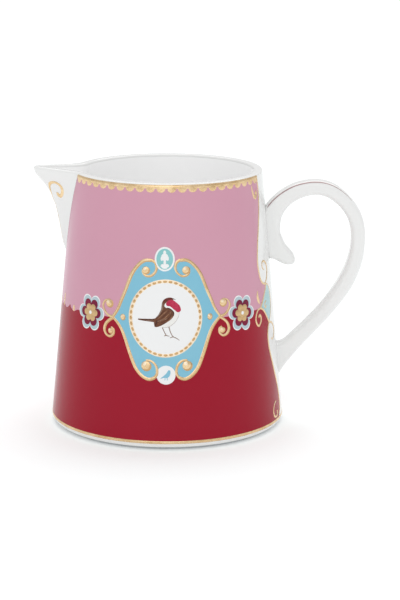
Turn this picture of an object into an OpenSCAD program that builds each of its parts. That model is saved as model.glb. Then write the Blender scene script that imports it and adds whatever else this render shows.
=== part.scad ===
// Porcelain cream jug: a conical body with a luted spout and a looped handle,
// decorated with fired-on colour and gold. The origin is on the body's axis at the
// foot, +Z is up, the spout points to -X, the handle to +X and the medallion faces -Y.

/* [Body] */
// Height of the body from the foot to the lip
body_h = 90; // [70:1:120]
// Outer radius of the wall where the lip's rounding starts
rim_r = 33; // [28:0.5:40]
// Outer radius of the wall just above the foot
base_r = 41; // [36:0.5:50]
// Thickness of the wall, measured level
wall = 3.2; // [2.4:0.1:4.5]
// Thickness of the floor above the recess under the foot
floor_t = 3.4; // [2.5:0.1:6]
// Radius of the rounding between floor and wall, inside
floor_fillet = 7; // [3:0.5:12]
// Radius of the rounded lower corner
corner_r = 3; // [2:0.25:5]
// Radius of the small rounding on the outer edge of the lip
lip_r = 0.9; // [0.5:0.1:1.2]
// Width of the flat foot ring that touches the table
foot_w = 2.8; // [2:0.1:4]
// Depth of the recess inside the foot ring
foot_recess = 1.6; // [0.8:0.1:3]

/* [Spout] */
// How far the spout's tip stands out from the wall
spout_reach = 13.8; // [8:0.2:18]
// Height that the spout runs down the wall
spout_drop = 29; // [20:0.5:40]
// Half of the spout's width where it meets the rim
spout_half_w = 12; // [8:0.25:15]
// Half of the spout's width at its lower end
spout_toe = 0.5; // [0.3:0.1:1.5]
// Rise of the spout's lip above the rim
spout_rise = 0.6; // [0:0.1:2]
// Thickness of the spout's tip
spout_wall = 2.6; // [2:0.1:3]

/* [Handle] */
// How far the handle stands out from the wall
handle_reach = 34; // [26:0.5:42]
// Width of the handle, side to side
handle_w = 6.9; // [5:0.1:10]
// Rounding of the handle's edges
handle_round = 1.8; // [0.8:0.1:2]

/* [Decoration] */
// Thickness of one fired layer of colour or gold
layer = 0.1; // [0.08:0.01:0.2]
// Height of the line where the pink ground meets the red
colour_split = 44.4; // [35:0.2:55]
// Half of the angle left white beside the handle
handle_white = 23; // [18:1:28]
// Height of the medallion's centre
medal_z = 45.1; // [42:0.1:48]
// Radius of the medallion's white disc
medal_r = 12; // [10:0.1:13]
// Number of gold beads round the medallion
bead_count = 40; // [24:2:48]
// Radius of one bead
bead_r = 0.6; // [0.4:0.05:0.75]
// Width of the gold lines
gold_w = 0.95; // [0.5:0.05:1.4]
// Angle from the medallion to each flower
flower_angle = 43.8; // [40:0.2:48]
// Radius of a flower
flower_r = 6.8; // [5:0.1:7.5]
// Number of gold scallops round the rim
scallop_count = 54; // [36:2:72]
// Width of the gold line above the foot
foot_line_w = 1; // [0.5:0.1:2]

/* [Hidden] */
$fn = 96;

porcelain = "white";
pink = [0.80, 0.60, 0.68];
red = [0.58, 0.13, 0.20];
blue = [0.46, 0.73, 0.83];
turquoise = [0.52, 0.77, 0.73];
gold = [0.85, 0.68, 0.42];
brown = [0.42, 0.26, 0.18];

// The wall is a cone from the top of the rounded corner to the lip's rounding.
wall_lo = corner_r;
wall_hi = body_h - lip_r;
taper = (base_r - rim_r) / (wall_hi - wall_lo);
function wall_r(z) = base_r - taper * (z - wall_lo);
function inner_r(z) = wall_r(z) - wall;
floor_z = foot_recess + floor_t;
mouth_lo = body_h - spout_drop;
// Half-width of the V-shaped mouth at height z
function mouth_w(z) = spout_toe + (spout_half_w - spout_toe) * (z - mouth_lo) / spout_drop;
// Things drawn for a 90 mm jug move with its height.
tall = body_h / 90;

// ---- Curves ----

// A point on the smooth curve through a, b, c and d, between b and c
function through(a, b, c, d, t) =
    0.5 * (2 * b + (c - a) * t + (2 * a - 5 * b + 4 * c - d) * t * t
        + (3 * b - a - 3 * c + d) * t * t * t);
// An open smooth curve through all the points, with n steps between neighbours
function smooth(p, n) =
    let (last = len(p) - 1)
    [for (i = [0 : last - 1], k = [0 : n - 1])
        through(p[max(i - 1, 0)], p[i], p[i + 1], p[min(i + 2, last)], k / n),
     p[last]];
function bezier(a, b, c, d, t) =
    pow(1 - t, 3) * a + 3 * pow(1 - t, 2) * t * b + 3 * (1 - t) * t * t * c + t * t * t * d;
function reversed(p) = [for (i = [len(p) - 1 : -1 : 0]) p[i]];
function flipped(p) = [for (q = p) [-q[0], q[1]]];
function arc(x, y, r, from, to, steps) =
    [for (i = [0 : steps]) let (a = from + (to - from) * i / steps) [x + r * cos(a), y + r * sin(a)]];
// A spiral line whose radius goes from r0 to r1
function spiral(x, y, r0, r1, from, to, steps) =
    [for (i = [0 : steps])
        let (a = from + (to - from) * i / steps, r = r0 + (r1 - r0) * i / steps)
        [x + r * cos(a), y + r * sin(a)]];
// The direction square to a line at its point i, to its left
function across(p, i) =
    let (d = p[min(i + 1, len(p) - 1)] - p[max(i - 1, 0)]) [-d[1], d[0]] / norm(d);
// A ribbon of width w0 at the start and w1 at the end, along a line
function ribbon(p, w0, w1) =
    let (n = len(p) - 1, w = [for (i = [0 : n]) (w0 + (w1 - w0) * i / n) / 2])
    concat([for (i = [0 : n]) p[i] + across(p, i) * w[i]],
        [for (i = [n : -1 : 0]) p[i] - across(p, i) * w[i]]);

// ---- Porcelain ----

module jug_body() {
    color(porcelain) difference() {
        rotate_extrude() polygon(concat(
            [[0, foot_recess],
             [base_r - corner_r - foot_w - foot_recess / 2, foot_recess],
             [base_r - corner_r - foot_w, 0]],
            arc(base_r - corner_r, corner_r, corner_r, -90, 0, 12),
            arc(rim_r - lip_r, wall_hi, lip_r, 0, 90, 8),
            arc(rim_r - wall + lip_r, wall_hi, lip_r, 90, 180, 8),
            arc(inner_r(floor_z + floor_fillet) - floor_fillet, floor_z + floor_fillet,
                floor_fillet, 0, -90, 12),
            [[0, floor_z]]));
        mouth();
    }
}

// The V-shaped cut through the wall that the spout closes
module mouth() {
    top = body_h + 2;
    rotate([90, 0, -90]) translate([0, 0, rim_r / 2])
        linear_extrude(base_r) polygon([
            [-mouth_w(mouth_lo), mouth_lo], [mouth_w(mouth_lo), mouth_lo],
            [mouth_w(top), top], [-mouth_w(top), top]]);
}

// How far the keel stands out at each share of the spout's height
keel = [[0, 0.01], [0.1, 0.1], [0.25, 0.18], [0.4, 0.26], [0.55, 0.36],
        [0.7, 0.52], [0.8, 0.67], [0.9, 0.87], [1, 1], [1.04, 1]];
function keel_x(z) = wall_r(z) + spout_reach * lookup((z - mouth_lo) / spout_drop, keel);
// The outer and inner faces in plan: t runs from 0 at the root to 1 at the nose
function spout_outer(t, z) =
    let (w = mouth_w(z), root = sqrt(pow(wall_r(z), 2) - w * w), nose = keel_x(z))
    bezier([root, w], [root + 0.23 * (nose - root), 0.54 * w], [nose, 0.32 * w], [nose, 0], t);
function spout_inner(t, z) =
    let (w = mouth_w(z), root = sqrt(pow(inner_r(z), 2) - w * w), nose = keel_x(z) - spout_wall)
    bezier([root, w], [root + 0.17 * (nose - root), 0.21 * w], [nose, 0.26 * w], [nose, 0], t);
// The spout's wall in section at t: up the outer face, over the lip, down the inner face
spout_rows = 12;
lip_steps = 6;
function spout_section(t) =
    let (top = wall_hi + spout_rise * pow(sin(90 * t), 2), rise = top - mouth_lo)
    concat(
        [for (i = [0 : spout_rows - 1]) let (z = mouth_lo + rise * i / spout_rows)
            concat(spout_outer(t, z), z)],
        [for (i = [0 : lip_steps])
            let (a = 180 * i / lip_steps, z = top + lip_r * sin(a),
                 out = spout_outer(t, z), in = spout_inner(t, z), in_by = lip_r * (1 - abs(cos(a))),
                 ends = i * 2 == lip_steps ? [out, out] : i * 2 < lip_steps ? [out, in] : [in, out])
            concat(i * 2 == lip_steps ? (out + in) / 2
                : ends[0] + (ends[1] - ends[0]) / norm(out - in) * in_by, z)],
        [for (i = [spout_rows - 1 : -1 : 0]) let (z = mouth_lo + rise * i / spout_rows)
            concat(spout_inner(t, z), z)]);

module spout() {
    steps = 10;
    half = [for (i = [0 : steps]) spout_section(i / steps)];
    side = concat(
        [for (s = half) [for (q = s) [-q[0], q[1], q[2]]]],
        [for (i = [steps - 1 : -1 : 0]) [for (q = half[i]) [-q[0], -q[1], q[2]]]]);
    color(porcelain) loft(side);
}

// A closed skin through a row of closed sections, with flat ends
module loft(rows) {
    n = len(rows[0]);
    m = len(rows);
    polyhedron(
        [for (row = rows) each row],
        concat(
            [[for (k = [0 : n - 1]) k]],
            [for (i = [0 : m - 2], k = [0 : n - 1]) let (j = (k + 1) % n)
                each [[i * n + k, (i + 1) * n + k, (i + 1) * n + j],
                      [i * n + k, (i + 1) * n + j, i * n + j]]],
            [[for (k = [n - 1 : -1 : 0]) (m - 1) * n + k]]));
}

// The handle is one strap: it leaves the wall low down, loops up and over, comes back to
// the wall and ends in a curl for the thumb. Each pair of points is one place along it, on
// the strap's back and on its belly, as distance out from the wall and height. Where it
// lies on the wall its points are inside and are brought out to the wall's face.
handle_back = [
    [-1.5, 14.5], [1, 18.2], [4.5, 22.3], [8.5, 26.6], [13.2, 31.2], [21.2, 39.4], [28.1, 48.1],
    [32.2, 56.7], [34, 64.7], [34, 71], [32.2, 76.6], [28.4, 81.7], [23.3, 85], [17.4, 85.9],
    [10.6, 84.5], [4.7, 81.2], [0.2, 76.8], [-1.5, 72.5], [-1.5, 67.5], [-1.5, 63], [-0.8, 59],
    [1.7, 57.9], [3.6, 56.8], [5.5, 56.1], [7.4, 56.3]];
handle_belly = [
    [-1.5, 27.3], [0.8, 27.6], [3.2, 28.8], [6, 31.3], [9.8, 34.7], [17, 41.9], [23.2, 50],
    [27.2, 57.4], [29.1, 64.8], [28.9, 70.6], [27.3, 74.7], [24.6, 78], [21, 80.3], [17, 80.8],
    [12.4, 79.6], [8.3, 77], [5.7, 73.7], [4.7, 70.5], [4.5, 67.5], [5.6, 63.9], [6.9, 61.9],
    [8, 60.5], [8.6, 59.3], [8.8, 58.3], [8.6, 57.4]];
function beside_wall(p) =
    [for (q = p) let (z = q[1] * tall)
        [wall_r(z) + (q[0] > 0 ? q[0] * handle_reach / 34 : q[0]), z]];
// A section of the strap: a rectangle from back to belly with rounded corners
function strap_section(back, belly) =
    let (thick = norm(belly - back), down = (belly - back) / thick, half = handle_w / 2,
         r = min(handle_round, thick * 0.45))
    [for (corner = [[r, half - r, 90], [r, r - half, 180], [thick - r, r - half, 270],
                    [thick - r, half - r, 0]], i = [0 : 3])
        let (a = corner[2] + 30 * i, q = back + down * (corner[0] + r * cos(a)),
             y = corner[1] + r * sin(a))
        [max(q[0], sqrt(pow(wall_r(q[1]), 2) - y * y)), y, q[1]]];

module handle() {
    back = smooth(beside_wall(handle_back), 3);
    belly = smooth(beside_wall(handle_belly), 3);
    color(porcelain) loft([for (i = [0 : len(back) - 1]) strap_section(back[i], belly[i])]);
}

// ---- Fired layers ----

// A sheet on the wall between two heights. Level 0 lies on the glaze, level 1 on that
// sheet, and so on.
module sheet(level, z0, z1) {
    low = level * layer;
    high = low + layer;
    rotate_extrude() polygon([
        [wall_r(z0) + low, z0], [wall_r(z0) + high, z0],
        [wall_r(z1) + high, z1], [wall_r(z1) + low, z1]]);
}

// The part of a sheet inside flat artwork, which is held upright in front of the wall
// and turned to an angle from the medallion
module applied(level, angle, height) {
    intersection() {
        sheet(level, wall_lo + foot_line_w, wall_hi);
        rotate([0, 0, angle]) translate([0, 0, height]) rotate([90, 0, 0])
            linear_extrude(base_r + 5) children();
    }
}

// Front and back carry the same artwork.
module both_sides() {
    children();
    mirror([0, 1, 0]) children();
}

// A wedge of angle from the axis, used to leave a field of the wall white
module field(from, to, z0, z1) {
    reach = base_r * 2;
    translate([0, 0, z0]) linear_extrude(z1 - z0)
        polygon(concat([[0, 0]], arc(0, 0, reach, from, to, 4)));
}

// The colour grounds run round the wall, past the spout's root, from one side of the
// handle's white field to the other.
module ground(z0, z1) {
    difference() {
        sheet(0, z0, z1);
        field(-handle_white, handle_white, z0 - 1, z1 + 1);
        mouth_margin();
    }
}

// A little wider than the mouth, so the colour stops short of the spout's root
mouth_gap = 0.4;
module mouth_margin() {
    top = body_h + 2;
    rotate([90, 0, -90]) translate([0, 0, rim_r / 2])
        linear_extrude(base_r) polygon([
            [-spout_toe - mouth_gap, mouth_lo - mouth_gap], [spout_toe + mouth_gap, mouth_lo - mouth_gap],
            [mouth_w(top) + mouth_gap, top], [-mouth_w(top) - mouth_gap, top]]);
}

module pink_ground() {
    color(pink) ground(colour_split, wall_hi);
}

module red_ground() {
    color(red) ground(wall_lo + foot_line_w, colour_split);
}

// Half of the shield's outline, from the cameo round the side to the roundel, with a
// sharp point at the waist. Heights are from the medallion's centre.
shield_top = [[3, 16.6], [3.6, 18.6], [6.2, 19.8], [9.4, 18.1], [11.6, 14.8], [13.5, 9.9], [15.5, 5],
              [17, 1.4], [18.3, -0.5]];
shield_foot = [[18.3, -0.5], [16.4, -1.7], [14.7, -5.2], [12.9, -10.3], [11.2, -15.3], [9.2, -18.6],
               [6.4, -20.4], [3.8, -19.4], [3.1, -17.5]];
shield_side = concat(smooth(shield_top, 3), smooth(shield_foot, 3));

module cartouche_ground() {
    color(blue) both_sides() applied(1, 0, medal_z)
        polygon(concat(shield_side, reversed(flipped(shield_side))));
}

module cartouche_outline() {
    color(gold) both_sides() applied(2, 0, medal_z)
        for (part = [shield_top, shield_foot], side = [0, 1])
            mirror([side, 0]) polygon(ribbon(smooth(part, 3), gold_w, gold_w));
}

module medallion_disc() {
    color(porcelain) both_sides() applied(2, 0, medal_z) circle(medal_r);
}

module bead_ring() {
    color(gold) both_sides() applied(3, 0, medal_z)
        for (i = [1 : bead_count]) rotate(i * 360 / bead_count)
            translate([medal_r - bead_r, 0]) circle(bead_r, $fn = 16);
}

// A small songbird that faces the handle: its head, back, folded wing and tail are brown,
// its face and breast red, and it stands on two thin legs.
bird_back = [[-9.6, -0.1], [-6.2, -0.2], [-4.3, -1], [-3.7, -2.7], [-1.4, -2], [0.9, -0.8], [2.1, 1],
             [1.9, 2.8], [0.3, 3.7], [-0.6, 5], [0.4, 6.5], [1.8, 7.3], [0.8, 7.6], [-0.9, 6.9], [-1.8, 5.4],
             [-2.1, 3.5], [-3.2, 1.6], [-4.4, 0.4], [-9.6, 0.4]];
bird_breast = [[-0.3, 5.2], [0.5, 6.4], [2, 7], [3.1, 5.8], [4.9, 4.6], [5.2, 2.9], [4.1, 2.3], [2.8, 3.6],
               [1.4, 4.3]];
bird_legs = [[[-1.2, -2.6], [-0.2, -5.6], [0.8, -5.8]], [[1, -1.9], [2.4, -5.9], [4.4, -7.4]]];
module songbird_brown() {
    color(brown) both_sides() applied(3, 0, medal_z) {
        polygon(smooth(bird_back, 2));
        for (leg = bird_legs) polygon(ribbon(leg, 0.35, 0.3));
    }
}

module songbird_red() {
    color(red) both_sides() applied(3, 0, medal_z) polygon(smooth(concat(bird_breast, [bird_breast[0]]), 2));
}

// The cameo is an upright oval at the head of the shield.
cameo_z = medal_z + 19.95;
cameo_half_w = 3.3;
cameo_half_h = 4.15;
cameo_border = 0.5;
module oval(half_w, half_h) {
    polygon([for (i = [0 : 35]) [half_w * cos(10 * i), half_h * sin(10 * i)]]);
}

module cameo_rim() {
    color(porcelain) both_sides() applied(2, 0, cameo_z) difference() {
        oval(cameo_half_w, cameo_half_h);
        oval(cameo_half_w - cameo_border, cameo_half_h - cameo_border);
    }
}

module cameo_ground() {
    color(turquoise) both_sides() applied(2, 0, cameo_z)
        oval(cameo_half_w - cameo_border, cameo_half_h - cameo_border);
}

// A plain standing figure: a round head over draped shoulders
module cameo_figure() {
    color(porcelain) both_sides() applied(3, 0, cameo_z) {
        translate([0, 1.3]) circle(0.95, $fn = 24);
        polygon(smooth([[-1.5, -3], [-0.6, -1.4], [-0.35, 0.6], [0.35, 0.6], [0.6, -1.4], [1.5, -3]], 2));
    }
}

// The roundel is a small disc at the shield's foot.
roundel_z = medal_z - 19.1;
roundel_r = 3.2;
module roundel() {
    color(porcelain) both_sides() applied(2, 0, roundel_z) circle(roundel_r);
}

module roundel_bird() {
    color(blue) both_sides() applied(3, 0, roundel_z)
        polygon(smooth([[-1.8, -1.3], [-0.4, -0.9], [0.9, -0.8], [1.5, 0.4], [1.3, 1.6], [0.5, 0.6],
                        [-0.7, -0.3], [-1.8, -1.3]], 2));
}

// Flowers of six petals lie between the shield and the jug's ends.
petals = 6;
module flower(radius) {
    for (i = [1 : petals]) rotate((i + 0.5) * 360 / petals)
        translate([0, radius * 0.6]) circle(radius * 0.4, $fn = 32);
    circle(radius * 0.62, $fn = 32);
}

module at_flowers(level) {
    for (side = [-1, 1]) applied(level, side * flower_angle, medal_z - 0.3) children();
}

module flower_edges() {
    color(porcelain) both_sides() at_flowers(1) flower(flower_r);
}

module flower_petals() {
    color(turquoise) both_sides() at_flowers(2) flower(flower_r - 0.5);
}

module flower_inner() {
    color(red) both_sides() at_flowers(3) flower(flower_r * 0.7);
}

module flower_hearts() {
    color(gold) both_sides() at_flowers(4) flower(flower_r * 0.46);
}

// A curl: a ball with a tail that winds out from it
module curl(x, y, ball, tail_r, from, to) {
    translate([x, y]) circle(ball, $fn = 24);
    polygon(ribbon(spiral(x, y, ball, tail_r, from, to, 10), gold_w * 0.9, gold_w * 0.6));
}

module scrolls() {
    color(gold) both_sides() applied(2, 0, medal_z)
        for (side = [0, 1]) mirror([side, 0]) {
            curl(6.3, 15.9, 1.1, 3, -60, -200);
            curl(6.2, -16.3, 1.3, 3, 40, 190);
            curl(19.7, 4.2, 1, 2.2, 20, -110);
            curl(19.3, -5.4, 0.9, 2.3, -60, 100);
            translate([14.5, -0.2]) circle(0.8, $fn = 24);
        }
}

module rim_gilding() {
    line_w = 0.6;
    top = wall_hi;
    scallop_r = PI * rim_r / scallop_count * 0.8;
    color(gold) difference() {
        union() {
            sheet(1, top - line_w, top);
            for (i = [1 : scallop_count]) intersection() {
                sheet(1, top - line_w - scallop_r, top - line_w);
                rotate([0, 0, i * 360 / scallop_count]) translate([0, 0, top - line_w])
                    rotate([90, 0, 0]) cylinder(h = base_r, r = scallop_r * 0.8, $fn = 24);
            }
        }
        field(-handle_white, handle_white, top - 5, top + 1);
        mouth_margin();
    }
}

module foot_gilding() {
    color(gold) sheet(0, wall_lo, wall_lo + foot_line_w);
}

// Gold on the spout is laid along a line of places, each a share t of the way from root
// to nose and a height. It is a ribbon that follows the spout's outer face.
function flank(p) = let (q = spout_outer(p[0], p[1])) [-q[0], q[1], p[1]];
function flank_out(p) =
    let (v = cross(flank(p + [0.02, 0]) - flank(p - [0.02, 0]), flank(p + [0, 0.1]) - flank(p - [0, 0.1])))
    v / norm(v);
flank_gap = 0.06;
module flank_ribbon(line, w0, w1) {
    last = len(line) - 1;
    loft([for (i = [0 : last])
        let (here = flank(line[i]), out = flank_out(line[i]),
             way = flank(line[min(i + 1, last)]) - flank(line[max(i - 1, 0)]),
             across = cross(way, out) / norm(cross(way, out)) * (w0 + (w1 - w0) * i / last) / 2,
             low = here + out * flank_gap, high = low + out * layer)
        [low - across, high - across, high + across, low + across]]);
}

// The line down the keel is one ribbon over the nose, level with the spout's own rows.
module keel_line(first, last) {
    near = 0.9;
    side = [for (t = [near, 1]) let (rows = spout_section(t))
        [for (i = [first : last]) [-rows[i][0], rows[i][1], rows[i][2]]]];
    loft([for (i = [0 : last - first])
        let (a = side[0][i], b = side[1][i], lift = [-layer, 0, 0])
        [a + lift, b + lift, [a[0], -a[1], a[2]] + lift, [a[0], -a[1], a[2]], b, a]]);
}

// A gold line lies along the keel, with a curl on each flank at its head.
module spout_gilding() {
    curl_z = mouth_lo + spout_drop * 0.78;
    path = [for (i = [0 : 18]) let (a = 200 + 24 * i, r = 1 - 0.035 * i)
        [0.66 + 0.16 * r * cos(a), curl_z + 3 * r * sin(a)]];
    color(gold) {
        keel_line(3, 8);
        flank_ribbon(path, gold_w * 0.8, gold_w * 0.4);
        mirror([0, 1, 0]) flank_ribbon(path, gold_w * 0.8, gold_w * 0.4);
    }
}

// The white field beside the handle has a gold border on each side, with a curl at its
// top, waist and foot, and a turquoise slip at the waist.
module side_gilding() {
    lean = handle_white - 90;
    color(gold) both_sides() for (part = [
            [[0.4, 41.5], [-1.6, 25], [-1.8, 16], [1.2, 11], [3, 8.6]],
            [[3, 8.6], [0, 0], [-1, -3.5], [-0.6, -8], [1.6, -20], [5.4, -35]]])
        applied(1, 90 - handle_white, medal_z)
            polygon(ribbon(smooth(part, 4), gold_w * 0.7, gold_w * 0.7));
}

module side_panels() {
    color(turquoise) both_sides() applied(1, 90 - handle_white, medal_z)
        polygon(smooth([[3.4, 7.6], [1.2, 1.2], [4.4, -5.4], [5.4, 0], [3.4, 7.6]], 4));
}

// A gold line along the upper back of the handle
module handle_gilding() {
    line = smooth([for (i = [15 : -1 : 9]) beside_wall(handle_back)[i]], 3);
    color(gold) translate([0, -handle_w / 2 + handle_round + gold_w / 2, 0]) rotate([90, 0, 0])
        linear_extrude(gold_w / 2)
            polygon(ribbon([for (i = [0 : len(line) - 1]) line[i] + across(line, i) * layer / 2],
                layer, layer));
}

jug_body();
spout();
handle();
pink_ground();
red_ground();
cartouche_ground();
medallion_disc();
songbird_brown();
songbird_red();
cameo_rim();
cameo_ground();
cameo_figure();
roundel();
roundel_bird();
flower_edges();
flower_petals();
flower_inner();
flower_hearts();
side_panels();
cartouche_outline();
bead_ring();
scrolls();
rim_gilding();
foot_gilding();
spout_gilding();
side_gilding();
handle_gilding();
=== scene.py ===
import math

import bmesh
import bpy
from mathutils import Matrix, Vector


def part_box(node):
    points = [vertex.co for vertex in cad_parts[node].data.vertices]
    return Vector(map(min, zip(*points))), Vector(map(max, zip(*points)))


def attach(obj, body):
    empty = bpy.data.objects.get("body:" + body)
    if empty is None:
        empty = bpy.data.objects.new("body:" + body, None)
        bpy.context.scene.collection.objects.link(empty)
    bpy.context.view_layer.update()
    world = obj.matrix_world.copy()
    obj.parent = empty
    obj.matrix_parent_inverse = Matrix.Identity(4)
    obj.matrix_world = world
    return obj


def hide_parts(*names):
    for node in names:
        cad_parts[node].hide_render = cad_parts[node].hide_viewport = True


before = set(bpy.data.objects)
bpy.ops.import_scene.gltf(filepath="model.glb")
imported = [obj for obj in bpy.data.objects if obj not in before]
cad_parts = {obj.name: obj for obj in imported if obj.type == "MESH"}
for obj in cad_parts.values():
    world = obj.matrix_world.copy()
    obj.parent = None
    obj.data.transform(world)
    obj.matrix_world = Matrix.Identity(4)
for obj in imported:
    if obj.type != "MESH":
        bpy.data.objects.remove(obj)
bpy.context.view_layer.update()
mm = 0.001


# ---- Body ----
# The body is one cast cone of porcelain with a rounded lip and a foot ring. It is glazed
# but for the underside of the ring and of the rounded corner beside it, which stand in
# the kiln and are painted dark grey as painted contact shadow. The spout's V-shaped
# mouth is cut out of it before the two are joined.
body_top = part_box("jug_body")[1]
body_h = body_top.z
base_r = body_top.y
rim_r = 33 * mm
wall = 3.2 * mm
corner_r = 3 * mm
lip_r = 0.9 * mm
foot_w = 2.8 * mm
foot_recess = 1.6 * mm
floor_z = 5 * mm
floor_fillet = 7 * mm
wall_lo = corner_r
wall_hi = body_h - lip_r
turn_steps = 240
mouth_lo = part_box("spout")[0].z
mouth_toe = 0.5 * mm
mouth_top = 12 * mm


def wall_r(z):
    """Radius of the wall's outer face at height z."""
    return base_r - (base_r - rim_r) * (z - wall_lo) / (wall_hi - wall_lo)


def mouth_w(z):
    """Half-width of the mouth at height z."""
    return mouth_toe + (mouth_top - mouth_toe) * (z - mouth_lo) / (body_h - mouth_lo)


def rounding(r, z, radius, start, end, steps=10):
    """Points of an arc about (r, z), its angles in degrees."""
    turns = [math.radians(start + (end - start) * i / steps) for i in range(steps + 1)]
    return [(r + radius * math.cos(a), z + radius * math.sin(a)) for a in turns]


def shader(name, metallic=0.0, shine=0.5):
    """A new material with its Principled shader, whose reflection is as strong as shine."""
    made = bpy.data.materials.new(name)
    made.use_nodes = True
    bsdf = made.node_tree.nodes["Principled BSDF"]
    bsdf.inputs["Metallic"].default_value = metallic
    bsdf.inputs["Specular IOR Level"].default_value = shine
    return made, made.node_tree, bsdf


def fired_surface():
    """The group that every fired surface shares: two tones of one colour that drift
    into each other, a gloss that varies, and the faint waves of a melted glaze."""
    group = bpy.data.node_groups.new("Fired surface", "ShaderNodeTree")
    for name, kind, value in (
        ("Colour", "NodeSocketColor", (1, 1, 1, 1)),
        ("Second colour", "NodeSocketColor", (1, 1, 1, 1)),
        ("Drift scale", "NodeSocketFloat", 40),
        ("Speckle", "NodeSocketFloat", 0.1),
        ("Gloss low", "NodeSocketFloat", 0.08),
        ("Gloss high", "NodeSocketFloat", 0.14),
        ("Wave", "NodeSocketFloat", 0.02),
    ):
        socket = group.interface.new_socket(name, in_out="INPUT", socket_type=kind)
        socket.default_value = value
    for name, kind in (
        ("Colour", "NodeSocketColor"),
        ("Roughness", "NodeSocketFloat"),
        ("Height", "NodeSocketFloat"),
    ):
        group.interface.new_socket(name, in_out="OUTPUT", socket_type=kind)
    nodes, link = group.nodes, group.links.new
    given = nodes.new("NodeGroupInput")
    out = nodes.new("NodeGroupOutput")
    place = nodes.new("ShaderNodeTexCoord")

    drift = nodes.new("ShaderNodeTexNoise")
    drift.inputs["Detail"].default_value = 3
    link(place.outputs["Object"], drift.inputs["Vector"])
    link(given.outputs["Drift scale"], drift.inputs["Scale"])

    speckle = nodes.new("ShaderNodeTexNoise")
    speckle.inputs["Scale"].default_value = 2600
    speckle.inputs["Detail"].default_value = 1
    link(place.outputs["Object"], speckle.inputs["Vector"])
    weight = nodes.new("ShaderNodeMath")
    weight.operation = "MULTIPLY_ADD"
    centred = nodes.new("ShaderNodeMath")
    centred.operation = "SUBTRACT"
    centred.inputs[1].default_value = 0.5
    link(speckle.outputs["Fac"], centred.inputs[0])
    link(centred.outputs[0], weight.inputs[0])
    link(given.outputs["Speckle"], weight.inputs[1])
    link(drift.outputs["Fac"], weight.inputs[2])

    tone = nodes.new("ShaderNodeMix")
    tone.data_type = "RGBA"
    link(weight.outputs[0], tone.inputs["Factor"])
    link(given.outputs["Colour"], tone.inputs["A"])
    link(given.outputs["Second colour"], tone.inputs["B"])
    link(tone.outputs["Result"], out.inputs["Colour"])

    gloss = nodes.new("ShaderNodeMapRange")
    link(drift.outputs["Fac"], gloss.inputs["Value"])
    gloss.inputs["From Min"].default_value = 0.3
    gloss.inputs["From Max"].default_value = 0.7
    link(given.outputs["Gloss low"], gloss.inputs["To Min"])
    link(given.outputs["Gloss high"], gloss.inputs["To Max"])
    link(gloss.outputs["Result"], out.inputs["Roughness"])

    waves = nodes.new("ShaderNodeTexNoise")
    waves.inputs["Scale"].default_value = 140
    waves.inputs["Detail"].default_value = 2
    link(place.outputs["Object"], waves.inputs["Vector"])
    depth = nodes.new("ShaderNodeMath")
    depth.operation = "MULTIPLY"
    link(waves.outputs["Fac"], depth.inputs[0])
    link(given.outputs["Wave"], depth.inputs[1])
    link(depth.outputs[0], out.inputs["Height"])
    return group


surface_group = fired_surface()


def fired(name, colour, second, scale=40, speckle=0.1, gloss=(0.08, 0.14), wave=0.02, metallic=0.0,
        shine=0.5):
    """A material of two tones that is finished by the fired-surface group."""
    made, tree, bsdf = shader(name, metallic, shine)
    fire = tree.nodes.new("ShaderNodeGroup")
    fire.node_tree = surface_group
    fire.inputs["Colour"].default_value = (*colour, 1)
    fire.inputs["Second colour"].default_value = (*second, 1)
    fire.inputs["Drift scale"].default_value = scale
    fire.inputs["Speckle"].default_value = speckle
    fire.inputs["Gloss low"].default_value, fire.inputs["Gloss high"].default_value = gloss
    fire.inputs["Wave"].default_value = wave
    bump = tree.nodes.new("ShaderNodeBump")
    bump.inputs["Distance"].default_value = 1 * mm
    tree.links.new(fire.outputs["Colour"], bsdf.inputs["Base Color"])
    tree.links.new(fire.outputs["Roughness"], bsdf.inputs["Roughness"])
    tree.links.new(fire.outputs["Height"], bump.inputs["Height"])
    tree.links.new(bump.outputs["Normal"], bsdf.inputs["Normal"])
    return made


porcelain = fired("Glazed porcelain", (0.82, 0.82, 0.81), (0.79, 0.79, 0.785), scale=25, speckle=0.15)
# The inside is painted brighter than the outside and glows faintly: painted light in the hollow.
inner_porcelain_painted_glow = fired("Porcelain inside with painted glow", (0.88, 0.88, 0.88), (0.86, 0.86, 0.86), scale=25, speckle=0.15)
inner_glow_bsdf = inner_porcelain_painted_glow.node_tree.nodes["Principled BSDF"]
inner_glow_bsdf.inputs["Emission Color"].default_value = (1, 1, 1, 1)
inner_glow_bsdf.inputs["Emission Strength"].default_value = 0.095
# The bare foot is painted dark grey: painted contact shadow under the jug.
bare_foot_painted_shadow = fired("Unglazed foot with painted contact shadow", (0.4, 0.42, 0.43), (0.35, 0.37, 0.38), scale=300, speckle=0.6,
                       gloss=(0.6, 0.8), wave=0.05)


def piece(bm, name, materials, nodes, sharp=38):
    """Makes an object of a finished bmesh: smooth but for its sharp edges, riding on
    the jug, and standing for the CAD nodes named."""
    for edge in bm.edges:
        edge.smooth = len(edge.link_faces) == 2 and edge.calc_face_angle() < math.radians(sharp)
    for face in bm.faces:
        face.smooth = True
    mesh = bpy.data.meshes.new(name)
    bm.to_mesh(mesh)
    bm.free()
    for material in materials:
        mesh.materials.append(material)
    made = bpy.data.objects.new(name, mesh)
    bpy.context.scene.collection.objects.link(made)
    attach(made, "root")
    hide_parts(*nodes)
    return made


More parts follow.
